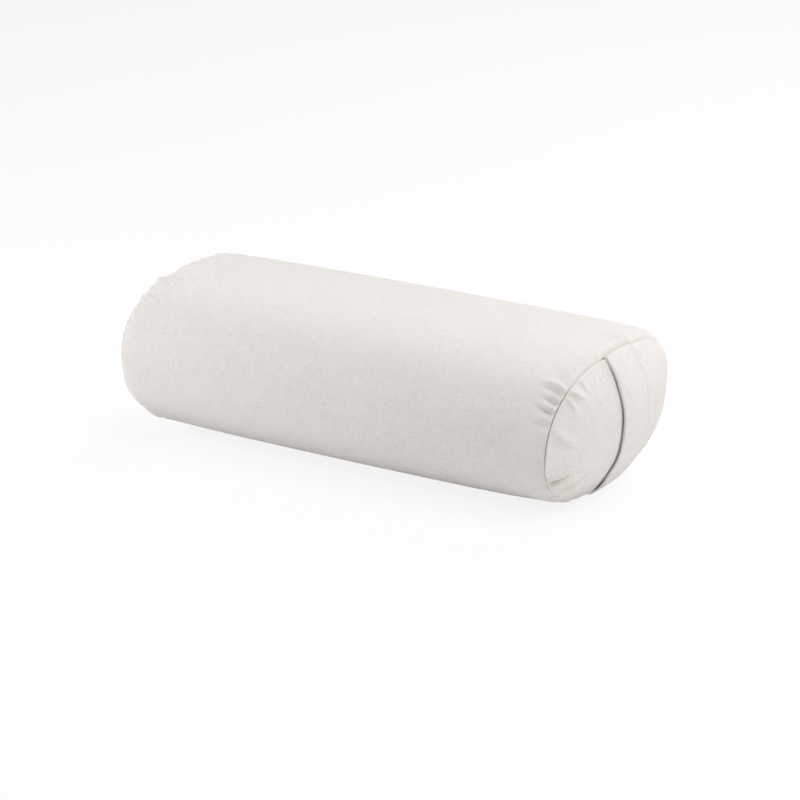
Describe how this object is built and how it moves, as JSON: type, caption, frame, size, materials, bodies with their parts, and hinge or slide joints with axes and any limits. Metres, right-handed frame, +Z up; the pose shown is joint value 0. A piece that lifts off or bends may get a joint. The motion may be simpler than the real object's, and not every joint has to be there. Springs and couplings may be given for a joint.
{
  "type": "yoga bolster",
  "caption": "Long oval yoga bolster: a drawn-in canvas cover with crowned ends, a flat carry handle over an end panel and a zip along the back, round a filled inner cushion.",
  "frame": {"origin": "middle of the flat underside that the bolster lies on, level with the floor", "axes": "+X along the bolster towards the handle, +Z up, +Y towards the back, where the zip is"},
  "size_m": [0.6536, 0.3049, 0.1925],
  "materials": {
    "canvas_cover": "natural off-white woven cotton canvas, matt",
    "canvas_handle": "the same canvas, folded and topstitched",
    "lining": "plain undyed cotton lining, matt",
    "filling": "loose undyed cotton fibre",
    "zip_tape": "woven polyester tape, off-white",
    "zip_teeth": "moulded off-white acetal resin",
    "zip_metal": "satin nickel-plated zinc casting"
  },
  "bodies": {
    "bolster": {"cover_tube": "canvas_cover", "handle_end_panel": "canvas_cover", "plain_end_panel": "canvas_cover", "carry_handle": "canvas_handle", "liner_tube": "lining", "liner_handle_end": "lining", "liner_plain_end": "lining", "filling": "filling", "zip_tape_upper": "zip_tape", "zip_tape_lower": "zip_tape", "zip_teeth_upper": "zip_teeth", "zip_teeth_lower": "zip_teeth", "zip_top_stop_upper": "zip_teeth", "zip_top_stop_lower": "zip_teeth", "zip_bottom_stop": "zip_teeth"},
    "slider": {"zip_slider": "zip_metal"},
    "pull_tab": {"zip_pull": "zip_metal"}
  },
  "joints": [
    {"name": "zip_slide", "type": "slide", "parent": "bolster", "child": "slider", "axis": [-1, 0, 0], "range_m": [0, 0.402], "deforming": ["zip_teeth_upper", "zip_teeth_lower"]},
    {"name": "pull_swing", "type": "hinge", "parent": "slider", "child": "pull_tab", "pos_m": [0.2033, 0.15255, 0.0915], "axis": [0, 0, -1], "range_deg": [0, 175]}
  ]
}
